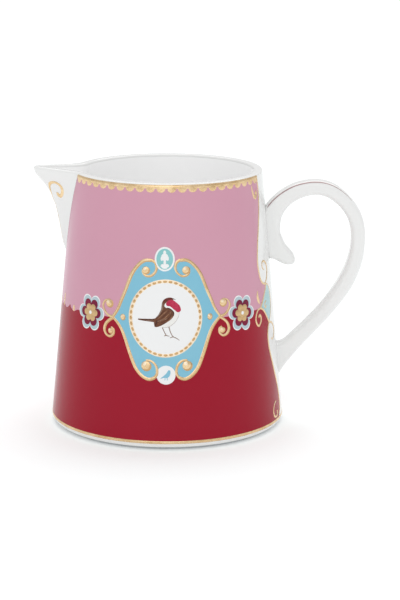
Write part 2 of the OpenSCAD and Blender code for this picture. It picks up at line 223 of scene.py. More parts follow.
ring_in = base_r - corner_r - foot_w
inner_lo = wall_r(floor_z + floor_fillet) - wall
profile = [(0, foot_recess), (ring_in - 1.2 * mm, foot_recess)]
profile += rounding(ring_in - 0.7 * mm, foot_recess - 0.5 * mm, 0.5 * mm, 90, 30, 4)
profile += rounding(ring_in + 0.4 * mm, 0.4 * mm, 0.4 * mm, 200, 270, 4)
profile += rounding(base_r - corner_r, corner_r, corner_r, -90, 0, 14)
profile += [(wall_r(z), z) for z in (wall_lo + (wall_hi - wall_lo) * i / 24 for i in range(1, 24))]
profile += rounding(rim_r - lip_r, wall_hi, lip_r, 0, 90, 8)
profile += rounding(rim_r - wall + lip_r, wall_hi, lip_r, 90, 180, 8)
profile += [(wall_r(z) - wall,
    z) for z in (wall_hi + (floor_z + floor_fillet - wall_hi) * i / 16 for i in range(1, 16))]
profile += rounding(inner_lo - floor_fillet, floor_z + floor_fillet, floor_fillet, 0, -90, 12)
profile += [(0, floor_z)]

cup = bmesh.new()
chain = [cup.verts.new((r, 0, z)) for r, z in profile]
links = [cup.edges.new(pair) for pair in zip(chain, chain[1:])]
bmesh.ops.spin(cup, geom=chain + links, axis=(0, 0, 1), cent=(0, 0, 0), angle=math.tau, steps=turn_steps,
    use_merge=True)
bmesh.ops.remove_doubles(cup, verts=cup.verts[:], dist=1e-7)
bmesh.ops.recalc_face_normals(cup, faces=cup.faces[:])
# Downward faces near the floor get the dark foot material, which is painted contact shadow.
shadow_slope = -0.58
shadow_top = 1.6 * mm
for face in cup.faces:
    middle = face.calc_center_median()
    if face.normal.z < shadow_slope and middle.z < shadow_top:
        face.material_index = 1
    # Faces inside the wall get the glowing inside material, which is painted light.
    if floor_z - mm < middle.z < wall_hi and math.hypot(middle.x, middle.y) < wall_r(middle.z) - wall / 2:
        face.material_index = 2
body = piece(cup, "jug_body_glazed", [porcelain, bare_foot_painted_shadow, inner_porcelain_painted_glow], ["jug_body"])

wedge = bmesh.new()
near, far, over = -rim_r / 2, -base_r - 5 * mm, body_h + 3 * mm
corners = [(mouth_w(mouth_lo), mouth_lo), (mouth_w(over), over), (-mouth_w(over), over), (-mouth_w(mouth_lo),
    mouth_lo)]
notch = wedge.faces.new([wedge.verts.new((near, y, z)) for y, z in corners])
deep = bmesh.ops.extrude_face_region(wedge, geom=[notch])
bmesh.ops.translate(wedge, verts=[v for v in deep["geom"] if isinstance(v, bmesh.types.BMVert)],
    vec=(far - near, 0, 0))
bmesh.ops.recalc_face_normals(wedge, faces=wedge.faces[:])
wedge_mesh = bpy.data.meshes.new("mouth_cutter")
wedge.to_mesh(wedge_mesh)
wedge.free()
cutter = bpy.data.objects.new("mouth_cutter", wedge_mesh)
bpy.context.scene.collection.objects.link(cutter)
cut = body.modifiers.new("mouth", "BOOLEAN")
cut.operation = "DIFFERENCE"
cut.solver = "EXACT"
cut.object = cutter
bpy.context.view_layer.update()
open_mesh = bpy.data.meshes.new_from_object(body.evaluated_get(bpy.context.evaluated_depsgraph_get()))
body.modifiers.clear()
body.data = open_mesh
bpy.data.objects.remove(cutter)


# ---- Spout ----
# The spout is a thin beak, cast apart and luted over the mouth. Its root follows the
# V, its keel runs out to the nose, and its lip is rounded like the body's.
spout_reach = 13.7 * mm
spout_wall = 2.6 * mm
spout_rise = 0.6 * mm
keel_shape = [(0, 0.01), (0.1, 0.1), (0.25, 0.18), (0.4, 0.26), (0.55, 0.36), (0.7, 0.52),
              (0.8, 0.67), (0.9, 0.88), (0.95, 0.96), (1, 1), (1.05, 1)]


def keel_x(z):
    """How far the keel's front edge is from the axis at height z."""
    share = min(max((z - mouth_lo) / (body_h - mouth_lo), 0), 1.049)
    last = max(i for i, (at, _) in enumerate(keel_shape[:-1]) if at <= share)
    (low, a), (high, b) = keel_shape[last:last + 2]
    return wall_r(z) + spout_reach * (a + (b - a) * (share - low) / (high - low))


def bent(a, b, c, d, t):
    """A point on the Bezier curve of four points in plan."""
    return [(1 - t) ** 3 * p + 3 * (1 - t) ** 2 * t * q + 3 * (1 - t) * t * t * r + t ** 3 * s
            for p, q, r, s in zip(a, b, c, d)]


def spout_outer(t, z):
    """The outer face in plan, t running from 0 at the root to 1 at the nose."""
    w = mouth_w(z)
    root, nose = math.sqrt(wall_r(z) ** 2 - w * w), keel_x(z)
    return bent((root, w), (root + 0.23 * (nose - root), 0.54 * w), (nose, 0.32 * w), (nose, 0), t)


def spout_inner(t, z):
    """The inner face in plan."""
    w = mouth_w(z)
    root, nose = math.sqrt((wall_r(z) - wall) ** 2 - w * w), keel_x(z) - spout_wall
    return bent((root, w), (root + 0.17 * (nose - root), 0.21 * w), (nose, 0.26 * w), (nose, 0), t)


def spout_section(t, rows=28, lip_steps=10):
    """The wall in section at t: up the outer face, over the lip, down the inner face."""
    top = wall_hi + spout_rise * math.sin(math.radians(90 * t)) ** 2
    heights = [mouth_lo + (top - mouth_lo) * i / rows for i in range(rows)]
    section = [(*spout_outer(t, z), z) for z in heights]
    for i in range(lip_steps + 1):
        a = math.pi * i / lip_steps
        z = top + lip_r * math.sin(a)
        out, inn = Vector(spout_outer(t, z)), Vector(spout_inner(t, z))
        across = (inn - out).normalized() * lip_r * (1 - abs(math.cos(a)))
        flat = out + across if 2 * i < lip_steps else inn - across
        if 2 * i == lip_steps:
            flat = (out + inn) / 2
        section.append((*flat, z))
    section += [(*spout_inner(t, z), z) for z in reversed(heights)]
    return section + section[:1]


def skin(sections):
    """A closed skin over a row of closed sections, made by laying a grid on them."""
    made = bmesh.new()
    rows, around = len(sections), len(sections[0])
    bmesh.ops.create_grid(made, x_segments=rows - 1, y_segments=around - 1, size=1)
    for v in made.verts:
        i = round((v.co.x + 1) / 2 * (rows - 1))
        k = round((v.co.y + 1) / 2 * (around - 1))
        v.co = sections[i][k]
    bmesh.ops.remove_doubles(made, verts=made.verts[:], dist=1e-7)
    bmesh.ops.holes_fill(made, edges=[e for e in made.edges if e.is_boundary], sides=0)
    bmesh.ops.recalc_face_normals(made, faces=made.faces[:])
    return made


flank_steps = 26
flank = [[(-x, y, z) for x, y, z in spout_section(i / flank_steps)] for i in range(flank_steps + 1)]
far_flank = [[(x, -y, z) for x, y, z in row] for row in reversed(flank[:-1])]
beak = skin(flank + far_flank)
# The spout's inside faces get the glowing inside material, which is painted light.
for face in beak.faces:
    middle = face.calc_center_median()
    if middle.z < wall_hi and face.normal.dot(Vector((-rim_r + 3 * mm - middle.x, -middle.y, 0))) > 0:
        face.material_index = 1
piece(beak, "spout_beak", [porcelain, inner_porcelain_painted_glow], ["spout"], sharp=50)


# ---- Handle ----
# The handle is one cast strap with rounded edges. It leaves the wall low down, loops
# up and over, comes back to the wall, lies along it and ends in a curl for the thumb.
handle_w = 6.9 * mm
handle_round = 1.8 * mm
fillet_out = 2 * mm
fillet_side = 0.6 * mm
handle_back = [
    (-1.5, 14.5), (1, 18.2), (4.5, 22.3), (8.5, 26.6), (13.2, 31.2), (21.2, 39.4), (28.1, 48.1),
    (32.2, 56.7), (33.95, 64.7), (33.95, 71), (32.2, 76.6), (28.4, 81.7), (23.3, 85), (17.4, 85.9),
    (10.6, 84.5), (4.7, 81.2), (0.2, 76.8), (-1.5, 72.5), (-1.5, 67.5), (-1.5, 63), (-0.8, 59),
    (1.7, 57.9), (3.6, 56.8), (5.5, 56.1), (7.4, 56.3)]
handle_belly = [
    (-1.5, 27.3), (0.8, 27.6), (3.2, 28.8), (6, 31.3), (9.8, 34.7), (17, 41.9), (23.2, 50),
    (27.2, 57.4), (29.1, 64.8), (28.9, 70.6), (27.3, 74.7), (24.6, 78), (21, 80.3), (17, 80.8),
    (12.4, 79.6), (8.3, 77), (5.7, 73.7), (4.7, 70.5), (4.5, 67.5), (5.6, 63.9), (6.9, 61.9),
    (8, 60.5), (8.6, 59.3), (8.8, 58.3), (8.6, 57.4)]


def flowing(points, steps, closed=False):
    """A smooth line through all the points, with that many steps between neighbours."""
    points = [Vector(p) for p in points]
    count = len(points)
    line = []
    for i in range(count if closed else count - 1):
        if closed:
            a, b, c, d = (points[(i + k) % count] for k in (-1, 0, 1, 2))
        else:
            a, b, c, d = (points[min(max(i + k, 0), count - 1)] for k in (-1, 0, 1, 2))
        for s in range(steps):
            t = s / steps
            line.append(0.5 * (2 * b + (c - a) * t + (2 * a - 5 * b + 4 * c - d) * t * t
                               + (3 * b - a - 3 * c + d) * t ** 3))
    return line if closed else line + [points[-1]]


def beside_wall(points):
    """Turns distances out from the wall and heights, in mm, into places in the frame."""
    return [Vector((wall_r(z * mm) + out * mm, z * mm)) for out, z in points]


def fillet(spot, side):
    """How much the strap widens there, that far from the middle plane."""
    out = spot.x - math.sqrt(wall_r(spot.y) ** 2 - side * side)
    near = min(max(1 - out / fillet_out, 0), 1)
    return fillet_side * near * near


def strap_section(back, belly):
    """A section of the strap: a rounded rectangle from back to belly. It widens in a
    soft fillet where it meets the wall."""
    down = belly - back
    thick = down.length
    down.normalize()
    half = handle_w / 2
    r = min(handle_round, thick * 0.45)
    outline = []
    for along, y, start in ((r, half - r, 90), (r, r - half, 180), (thick - r, r - half, 270), (thick - r,
            half - r, 0)):
        outline += rounding(along, y, r, start, start + 90, 8)
    section = []
    for i, (along, side) in enumerate(outline):
        next_along, next_side = outline[(i + 1) % len(outline)]
        steps = 6 if i % 9 == 8 else 1
        for step in range(steps):
            share = step / steps
            y = side + (next_side - side) * share
            spot = back + down * (along + (next_along - along) * share)
            y += math.copysign(fillet(spot, y), y)
            wall_x = math.sqrt(wall_r(spot.y) ** 2 - y * y) - 0.15 * mm
            section.append((max(spot.x, wall_x), y, spot.y))
    return section + section[:1]


strap = [strap_section(*pair) for pair in zip(flowing(beside_wall(handle_back), 8),
    flowing(beside_wall(handle_belly), 8))]
piece(skin(strap), "handle_strap", [porcelain], ["handle"], sharp=60)


# ---- Colour grounds ----
# Pink and dark red ground colours are laid on the glaze and fired. They meet in a line
# round the middle, with small scallops beside the spout, and stop in a scrolled edge
# beside the handle, where the wall stays white.
split_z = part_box("pink_ground")[0].z
medal_lo, medal_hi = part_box("medallion_disc")
medal_z = (medal_lo.z + medal_hi.z) / 2
film = 0.03 * mm
mouth_gap = 0.4 * mm
ground_step = 1.2 * mm
artwork_step = 1 * mm
roll_r = (rim_r + base_r) / 2
enamel = dict(gloss=(0.16, 0.24), wave=0.03)


def round_wall(bm, roll=roll_r):
    """Wraps unrolled artwork round the wall: x is its distance from the front, measured
    on a roll of that radius, y its height off the glaze and z its height on the jug."""
    for v in bm.verts:
        along, off, z = v.co
        past = min(max(z - wall_hi, 0), lip_r)
        lip_in = lip_r - math.sqrt(lip_r ** 2 - past ** 2)
        angle, r = along / roll, wall_r(min(z, wall_hi)) - lip_in + off
        v.co = (r * math.sin(angle), -r * math.cos(angle), z)


def mirrored(bm):
    """Repeats artwork on the far side of the jug."""
    bmesh.ops.mirror(bm, geom=bm.verts[:] + bm.edges[:] + bm.faces[:], axis="Y", merge_dist=0)
    bmesh.ops.recalc_face_normals(bm, faces=bm.faces[:])


def add_to(whole, bm):
    """Adds a finished bmesh to another and frees it."""
    mesh = bpy.data.meshes.new("added")
    bm.to_mesh(mesh)
    bm.free()
    whole.from_mesh(mesh)
    bpy.data.meshes.remove(mesh)


def cut_upright(bm, step):
    """Cuts artwork into narrow upright strips, so that it bends smoothly."""
    low = min(v.co.x for v in bm.verts)
    high = max(v.co.x for v in bm.verts)
    for i in range(math.floor(low / step) + 1, math.ceil(high / step)):
        geom = bm.verts[:] + bm.edges[:] + bm.faces[:]
        bmesh.ops.bisect_plane(bm, geom=geom, dist=1e-9, plane_co=(i * step, 0, 0), plane_no=(1, 0, 0))


def film_of(outline, low, high, step):
    """A thin plate with that outline, its back at low and its face at high."""
    bm = bmesh.new()
    face = bm.faces.new([bm.verts.new((x, -low, z)) for x, z in outline])
    face.normal_update()
    bmesh.ops.triangulate(bm, faces=[face])
    cut_upright(bm, step)
    raised = bmesh.ops.extrude_face_region(bm, geom=bm.faces[:])
    bmesh.ops.translate(bm, verts=[v for v in raised["geom"] if isinstance(v, bmesh.types.BMVert)],
                        vec=(0, low - high, 0))
    for v in bm.verts:
        v.co.y = -v.co.y
    bmesh.ops.recalc_face_normals(bm, faces=bm.faces[:])
    return bm


def degrees_out(points):
    """Angles in degrees and heights in mm, unrolled."""
    return [(math.radians(a) * roll_r, z * mm) for a, z in points]


def from_back(points):
    """The same edge on the far side, in the other direction."""
    return [(-math.pi * roll_r - x, z) for x, z in reversed(points)]


# Edges beside the handle, as angles from the medallion and heights
pink_side = [
    (66.6, 89.1), (67.5, 84), (66.4, 78), (63.7, 72), (61, 66), (59.6, 61), (60.1, 57.4), (61.8, 54),
    (64.6, 52.4), (68.5, 51.8)]
pink_point = [(67.3, 50.4), (65.6, 49), (63.4, 47.3), (61.2, 45.7), (59.4, 44.4)]
red_point = [(59.4, 44.4), (62, 43.6), (64.6, 42), (66.8, 40.1), (69, 38.2)]
red_side = [
    (69, 38.2), (66.9, 36.2), (65.8, 33.4), (66.4, 29.4), (68.6, 25.3), (71, 21.2), (73.8, 17),
    (75.9, 13.3), (77.3, 9), (76.9, 6), (74.2, 3.4)]
pink_edge = degrees_out(flowing(pink_side, 5))
pink_tip = degrees_out(pink_point)
red_tip = degrees_out(red_point)
red_edge = degrees_out(flowing(red_side, 5))
scallop_dips = [-60, -69.7, -79.4]


def split_line():
    """The meeting line from the front to the spout's middle: scallops of pink hang
    into the red from 55 degrees on."""
    line = []
    angle = 59.4
    while angle > -90:
        drop = 0.0
        for dip in scallop_dips:
            drop = max(drop, 1 - abs(angle - dip) / 4.2)
        rise = 0.5 * mm if angle < -55 else 0
        line.append((math.radians(angle) * roll_r, split_z + rise - 1.7 * mm * math.sqrt(drop)))
        angle -= 0.6 if angle < -54 else 4
    return line + [(math.radians(-90) * roll_r, split_z + 0.5 * mm)]


def mouth_margin():
    """The edge that keeps the pink clear of the spout's root, from the rim down."""
    edge = []
    for i in range(13):
        z = wall_hi + (mouth_lo - mouth_gap - wall_hi) * i / 12
        w = max(mouth_w(z), mouth_toe) + mouth_gap
        edge.append(((-math.pi / 2 + math.asin(w / wall_r(z))) * roll_r, z))
    return edge + [(-math.pi / 2 * roll_r, mouth_lo - mouth_gap)]


middle = split_line()
margin = mouth_margin()
pink_half = margin[-2::-1] + pink_edge + pink_tip[:-1] + middle
pink_outline = [margin[-1]] + pink_half + from_back(pink_half)[1:]
pink = fired("Pink ground", (0.63, 0.33, 0.42), (0.59, 0.3, 0.39), scale=30, speckle=0.25, shine=0.15,
    **enamel)
bm = film_of(pink_outline, -film, film, ground_step)
round_wall(bm)
piece(bm, "pink_ground_colour", [pink], ["pink_ground"])

foot_edge_z = wall_lo + 0.35 * mm
red_half = list(reversed(middle[:-1])) + red_tip[1:] + red_edge[1:]
foot_middle = (math.radians(-90) * roll_r, foot_edge_z)
red_outline = [middle[-1]] + red_half + [foot_middle] + from_back(red_half)
red = fired("Dark red ground", (0.33, 0.005, 0.023), (0.3, 0.004, 0.018), scale=30, speckle=0.25, shine=0.16,
    **enamel)
bm = film_of(red_outline, -film, film, ground_step)
round_wall(bm)
piece(bm, "red_ground_colour", [red], ["red_ground"])


# ---- Shield ----
# The shield is a light blue transfer with a waist on each side, which its gold line
# closes. It carries the medallion, the cameo and the roundel, and all of it is repeated
# on the back of the jug.
artwork_turn = math.radians(-0.75)
artwork_lean = math.radians(0.6)
shield_top = [(3.2, 18.4), (4.9, 19.6), (6.7, 19.6), (8.4, 18.7), (10.3, 16.6), (11.6, 14.4), (12.7, 11.7),
              (13.9, 8.5), (15.1, 5.6), (16.3, 2.6), (18.1, -0.3)]
shield_foot = [(18.1, -0.3), (16.5, -2), (15.1, -4.2), (13.9, -7.3), (12.9, -10.5), (11.8, -13.7),
    (10.4, -17), (8.4, -19.4), (6.1, -20.5), (4.1, -19.9), (3.2, -18.4)]


def millimetres(points):
    return [Vector((x * mm, z * mm)) for x, z in points]


def onto_wall(bm, turn=artwork_turn, height=medal_z, lean=artwork_lean):
    """Hangs upright artwork on the wall at an angle from the front and at a height,
    and repeats it on the back."""
    for v in bm.verts:
        x, off, z = v.co
        x, z = x * math.cos(lean) - z * math.sin(lean), x * math.sin(lean) + z * math.cos(lean)
        v.co = (turn + math.asin(x / wall_r(z + height)), off, z + height)
    round_wall(bm, roll=1)
    mirrored(bm)


side = flowing(millimetres(shield_top), 5) + flowing(millimetres(shield_foot), 5)[1:]
outline = side + [Vector((-p.x, p.y)) for p in reversed(side)]
blue = fired("Light blue enamel", (0.165, 0.46, 0.62), (0.23, 0.51, 0.64), scale=90, speckle=0.3, **enamel)
bm = film_of(outline, 0, 2 * film, artwork_step)
onto_wall(bm)
piece(bm, "shield_blue", [blue], ["cartouche_ground"])


# ---- Medallion ----
# The disc is a white reserve inside the ring of gold beads, on which the bird is painted.
medal_r = 12 * mm


def ring_points(radius, count, tall=1.0):
    return [Vector((radius * math.cos(math.tau * i / count), tall * radius * math.sin(math.tau * i / count)))
            for i in range(count)]


white = fired("White enamel", (0.84, 0.84, 0.84), (0.81, 0.815, 0.82), scale=60, speckle=0.2,
    gloss=(0.14, 0.2), wave=0.02)
disc_tall = 1.07
bm = film_of(ring_points(medal_r - 0.7 * mm, 96, disc_tall), 0, 3 * film, artwork_step)
onto_wall(bm)
piece(bm, "medallion_white", [white], ["medallion_disc"])


# ---- Gold lines ----
# All gilding is liquid gold, brushed or printed on in lines and drops that stand a
# little proud, with a darker lower edge of painted shade and round sides, then fired bright.
gold = fired("Fired gold", (0.55, 0.33, 0.13), (0.97, 0.77, 0.5), scale=260, speckle=0.7, gloss=(0.2, 0.36),
    wave=0.12, metallic=1.0)
# Pale gold for the bead ring, also laid on gold drops as a painted highlight.
pale_gold_and_painted_highlight = fired("Pale gold and painted highlight", (0.82, 0.63, 0.42), (0.95, 0.83, 0.66), scale=300, speckle=0.5,
    gloss=(0.28, 0.4), wave=0.08, metallic=0.6)
# Dark gold for the beads of the ring, also laid under gold lines and drops as painted shade.
dark_gold_and_painted_shade = fired("Burnished gold and painted shade", (0.5, 0.3, 0.13), (0.64, 0.41, 0.2), scale=500, speckle=0.6,
    gloss=(0.22, 0.34), wave=0.1, metallic=0.8)
gold_w = 0.95 * mm
gold_high = 0.12 * mm


def lay_line(bm, points, width, sizes=(1, 1), high=gold_high, base=2 * film, closed=False):
    """Adds a round-edged line through the points, whose width swells as sizes say."""
    curve = bpy.data.curves.new("line", "CURVE")
    curve.dimensions = "3D"
    curve.bevel_depth = width / 2
    curve.bevel_resolution = 2
    curve.use_fill_caps = True
    spline = curve.splines.new("POLY")
    spline.points.add(len(points) - 1)
    spline.use_cyclic_u = closed
    for i, (spot, (x, z)) in enumerate(zip(spline.points, points)):
        share = i / (len(points) - 1) * (len(sizes) - 1)
        low = min(int(share), len(sizes) - 2)
        spot.co = (x, 0, z, 1)
        spot.radius = sizes[low] + (sizes[low + 1] - sizes[low]) * (share - low)
    holder = bpy.data.objects.new("line", curve)
    bpy.context.scene.collection.objects.link(holder)
    bpy.context.view_layer.update()
    mesh = bpy.data.meshes.new_from_object(holder.evaluated_get(bpy.context.evaluated_depsgraph_get()))
    before = len(bm.verts)
    bm.from_mesh(mesh)
    bm.verts.ensure_lookup_table()
    for v in bm.verts[before:]:
        v.co.y = base + v.co.y * high / (width / 2)
    bpy.data.objects.remove(holder)
    bpy.data.curves.remove(curve)
    bpy.data.meshes.remove(mesh)


def lay_ball(bm, x, z, radius, high=2 * gold_high, base=2 * film, tall=1.0):
    """Adds a domed drop of gold."""
    place = Matrix.Translation((x, base, z)) @ Matrix.Diagonal((radius, high, radius * tall, 1))
    bmesh.ops.create_uvsphere(bm, u_segments=20, v_segments=12, radius=1, matrix=place)


def tint(bm, before, material):
    """Gives a material to every face laid since there were that many."""
    bm.faces.ensure_lookup_table()
    for face in bm.faces[before:]:
        face.material_index = material


def gold_line_with_painted_shade(bm, points, width, sizes=(1, 1)):
    """Lays a gold line over a darker one, which shows along its lower edge as painted shade."""
    before = len(bm.faces)
    lay_line(bm, [p + Vector((0.13 * mm, -0.17 * mm)) for p in points], width, sizes, high=0.8 * gold_high)
    tint(bm, before, 1)
    lay_line(bm, points, 0.92 * width, sizes)


def gold_drop_with_painted_light(bm, x, z, radius, tall=1.0):
    """Lays a drop of gold with a darker rim below as painted shade and a light spot above as a painted
    highlight.
    """
    before = len(bm.faces)
    lay_ball(bm, x + 0.1 * radius, z - 0.12 * radius, radius, high=1.6 * gold_high, tall=tall)
    tint(bm, before, 1)
    lay_ball(bm, x, z, 0.92 * radius, tall=tall)
    before = len(bm.faces)
    lay_ball(bm, x - 0.2 * radius, z + 0.3 * radius, 0.5 * radius, high=2.3 * gold_high, tall=tall)
    tint(bm, before, 2)


def both_ways(points):
    return [points, [Vector((-p[0], p[1])) for p in points]]


top_scroll = flowing(millimetres([(7.4, 16.9), (7.8, 15.7), (7, 14.5), (5.3, 14.3), (3.8, 15.4), (3.1, 17.1),
                                  (3.6, 18.9), (4.9, 19.7)]), 5)
foot_scroll = flowing(millimetres([(4.1, -19.9), (3.3, -18.6), (3.3, -16.8), (4, -15.3), (5.3, -14.3),
    (6.9, -14.1)]), 5)
gilding = bmesh.new()
for line in both_ways(flowing(millimetres(shield_top[1:]), 5)):
    gold_line_with_painted_shade(gilding, line, gold_w, (1, 1.1, 1, 0.8))
for line in both_ways(flowing(millimetres(shield_foot[:-1]), 5)):
    gold_line_with_painted_shade(gilding, line, gold_w, (0.8, 1, 1.1, 1))
onto_wall(gilding)
piece(gilding, "shield_gold_line", [gold, dark_gold_and_painted_shade], ["cartouche_outline"], sharp=70)

scrolls = bmesh.new()
waist_up = flowing(millimetres([(18.1, -0.3), (19.7, 0.2), (20.9, 1.7), (21.3, 3.5), (20.5, 5), (19, 5.5)]),
    5)
waist_down = flowing(millimetres([(18, -0.5), (19.3, -1.5), (20.5, -2.9), (21, -4.9), (20.3, -6.5),
    (19, -6.9), (17.9, -5.9), (17.8, -4.5), (18.6, -3.8)]), 5)
for line, sizes in ((top_scroll, (0.5, 0.8, 1)), (foot_scroll, (1, 0.9, 0.7)), (waist_up, (1, 0.6, 0.45)),
                    (waist_down, (1, 0.9, 0.6))):
    for way in both_ways(line):
        gold_line_with_painted_shade(scrolls, way, gold_w * 0.9, sizes)
for side_x in (-1, 1):
    gold_drop_with_painted_light(scrolls, side_x * 6.7 * mm, 16.2 * mm, 1.35 * mm)
    gold_drop_with_painted_light(scrolls, side_x * 6.9 * mm, -16 * mm, 1.7 * mm)
    gold_drop_with_painted_light(scrolls, side_x * 19.1 * mm, 4.2 * mm, 1.25 * mm, tall=1.15)
    gold_drop_with_painted_light(scrolls, side_x * 18.8 * mm, -5.1 * mm, 1 * mm)
    gold_drop_with_painted_light(scrolls, side_x * 14.6 * mm, 0, 0.85 * mm, tall=1.3)
onto_wall(scrolls)
side_drops = bmesh.new()
for angle, low, high, wide in ((-60, 43.3, 45.3, 1.3), (-74.2, 43.4, 47.6, 0.95), (-83, 43.6, 45, 1)):
    stem = [Vector((math.radians(angle) * roll_r, z * mm)) for z in (low, (low + high) / 2, high)]
    lay_line(side_drops, stem, wide * mm, (0.6, 1, 0.7), base=film)
round_wall(side_drops)
mirrored(side_drops)
add_to(scrolls, side_drops)
piece(scrolls, "shield_scrolls", [gold, dark_gold_and_painted_shade, pale_gold_and_painted_highlight], ["scrolls"], sharp=70)


# ---- Bead ring ----
# Forty short beads of darker gold lie on a pale gold ring round the disc.
bead_count = 40
beads = bmesh.new()
ring_r = medal_r - 0.35 * mm
lay_line(beads, ring_points(ring_r, 120, disc_tall), 1.35 * mm, high=0.05 * mm, closed=True)
before = len(beads.faces)
for spot in ring_points(ring_r - 0.05 * mm, bead_count, disc_tall):
    turned = math.atan2(spot.y, spot.x)
    place = (Matrix.Translation((spot.x, 2 * film + 0.03 * mm, spot.y)) @ Matrix.Rotation(-turned, 4, "Y")
             @ Matrix.Diagonal((0.42 * mm, 0.1 * mm, 0.68 * mm, 1)))
    bmesh.ops.create_uvsphere(beads, u_segments=12, v_segments=8, radius=1, matrix=place)
tint(beads, before, 1)
onto_wall(beads, turn=artwork_turn - 0.007)
piece(beads, "bead_ring_gold", [pale_gold_and_painted_highlight, dark_gold_and_painted_shade], ["bead_ring"], sharp=70)


# ---- Songbird ----
# A small painted songbird stands on the disc and looks towards the handle. Its brown
# plumage is laid in strokes over a base tone, and its face and breast are crimson.
feather = dict(scale=700, gloss=(0.2, 0.3), wave=0.05, shine=0.2)
plumage = fired("Brown plumage", (0.1, 0.034, 0.018), (0.19, 0.075, 0.035), speckle=1.0, **feather)
dark_brown = fired("Dark brown stroke", (0.05, 0.018, 0.014), (0.08, 0.03, 0.02), speckle=0.6, **feather)
grey_brown = fired("Grey brown stroke", (0.2, 0.13, 0.1), (0.3, 0.21, 0.16), speckle=0.6, **feather)
crimson = fired("Crimson breast", (0.38, 0.015, 0.05), (0.56, 0.04, 0.1), speckle=0.8, **feather)
cap_brown = fired("Cap brown", (0.1, 0.018, 0.016), (0.17, 0.03, 0.028), speckle=0.8, **feather)
fawn = fired("Fawn stroke", (0.2, 0.09, 0.045), (0.4, 0.23, 0.14), speckle=0.6, **feather)
pale_down = fired("Pale down", (0.79, 0.775, 0.74), (0.83, 0.82, 0.8), speckle=0.6, **feather)

paint = 3 * film
bird = bmesh.new()
brown, dark, grey, cherry, down, tan, cap = range(7)


def daub(bm, outline, level, material):
    """Adds a flat patch of paint to bm, in the material of that number."""
    patch = film_of(outline, paint, paint + level * 0.01 * mm, artwork_step)
    for face in patch.faces:
        face.material_index = material
    add_to(bm, patch)


def stroke(bm, points, width, sizes, material, high=0.04 * mm):
    """Adds a brush stroke to bm, in the material of that number."""
    before = len(bm.faces)
    lay_line(bm, flowing(millimetres(points), 4), width * mm, sizes, high=high, base=paint)
    tint(bm, before, material)


belly = flowing(millimetres([(-3, -2.5), (-1.4, -3), (0.4, -2.9), (2.1, -2), (3.5, -0.5), (4.3, 1),
    (4.4, 2.3), (2.6, 3.2), (1, 2)]), 4, closed=True)
back = flowing(millimetres([(-1.3, 5.4), (-0.7, 6.4), (0.4, 7), (1.6, 7.1), (2.4, 6.7), (2.2, 6), (1, 5.8),
    (0.1, 5.4), (-0.4, 4.9), (-0.55, 4.2), (0.1, 3.6), (0.9, 3.5), (1.9, 2.9), (2.7, 1.9), (2.5, 0.9),
    (1.8, -0.1), (0.8, -0.9), (-0.3, -1.6), (-2, -2.5), (-3.7, -2.8), (-4.1, -1.2), (-3.9, -0.2), (-2.8, 1),
    (-2, 2.4), (-1.6, 3.4), (-1.45, 4.5)]), 4, closed=True)
tail = millimetres([(-3.2, 0.2), (-4.6, -0.1), (-9.3, -0.15), (-9.5, -0.35), (-9.3, -0.6), (-4.2, -1.2)])
breast = flowing(millimetres([(0, 5), (0.5, 5.9), (1.4, 6.3), (2.4, 6.2), (3.8, 5.1), (4.6, 4.2), (4.95, 2.9),
    (4.5, 2.2), (3.7, 2.2), (2.6, 3.1), (1.4, 4.1), (0.4, 4.3)]), 4, closed=True)
daub(bird, belly, 1, down)
stroke(bird, [(4.4, 2.1), (4.2, 0.9), (3.4, -0.7), (2, -2.1), (0.4, -2.9), (-1.4, -3)], 0.1, (0.6, 1, 0.7),
    grey)
daub(bird, tail, 2, brown)
daub(bird, back, 2, brown)
stroke(bird, [(-0.9, 5.6), (-0.2, 6.2), (0.8, 6.6), (1.9, 6.7)], 0.9, (0.5, 1, 0.7), cap)
stroke(bird, [(-1.1, 5.1), (-1.1, 3.9), (-1.9, 2), (-3.1, 0.3)], 0.5, (0.8, 1, 0.5), grey)
stroke(bird, [(0.2, 3.6), (1.3, 3.3), (2.5, 2.1), (2.5, 0.9)], 0.42, (0.5, 1, 0.6), dark)
for start, bend, end, tone in (
    ((2, 1.7), (0.7, 0), (-1.9, -1.6), dark),
    ((1.6, 2.2), (0.1, 0.7), (-2.3, -1.3), tan),
    ((1.1, 2.7), (-0.3, 1.2), (-2.7, -0.9), dark),
    ((0.5, 2.9), (-0.9, 1.6), (-3.1, -0.4), tan),
    ((-0.2, 3), (-1.4, 1.9), (-3.2, 0.1), dark),
    ((2.2, 0.9), (0.9, -0.7), (-1.6, -2.1), tan),
    ((0.8, -0.6), (-0.6, -1.6), (-2.4, -2.5), dark),
):
    stroke(bird, [start, bend, end], 0.26, (0.6, 1, 0.5), tone)
quills = 20
golden = 0.618
for i in range(quills):
    along, across = (i * golden) % 1, (i * 0.382 + 0.15) % 1
    x = 2.1 - 5 * along - 0.9 * across
    z = 2.5 - 3.2 * along - 2 * across * (1 - 0.4 * along)
    stroke(bird, [(x, z), (x - 0.35, z - 0.3), (x - 0.7, z - 0.5)], 0.24, (0.5, 1, 0.4), (dark, tan,
        grey)[i % 3])
stroke(bird, [(-3, -0.6), (-3.4, -1.8), (-3.9, -2.7)], 0.6, (1, 0.9, 0.3), dark)
stroke(bird, [(-4, -0.3), (-6.6, -0.35), (-9.2, -0.35)], 0.35, (0.8, 1, 0.6), dark)
stroke(bird, [(-4.2, -0.9), (-5.8, -0.75), (-7.4, -0.55)], 0.3, (0.8, 1, 0.3), grey)
for leg in ([(-1.3, -3), (-0.7, -4.3), (0, -5.6), (1.1, -5.9)], [(0.9, -2.8), (1.5, -4.8), (2.3, -6.1),
        (3.3, -6.6), (4.4, -7.4)], [(0, -5.6), (-0.7, -5.8)], [(2.3, -6.1), (1.2, -6.5)]):
    stroke(bird, leg, 0.36, (0.9, 0.75, 0.8, 0.5), grey)
onto_wall(bird)
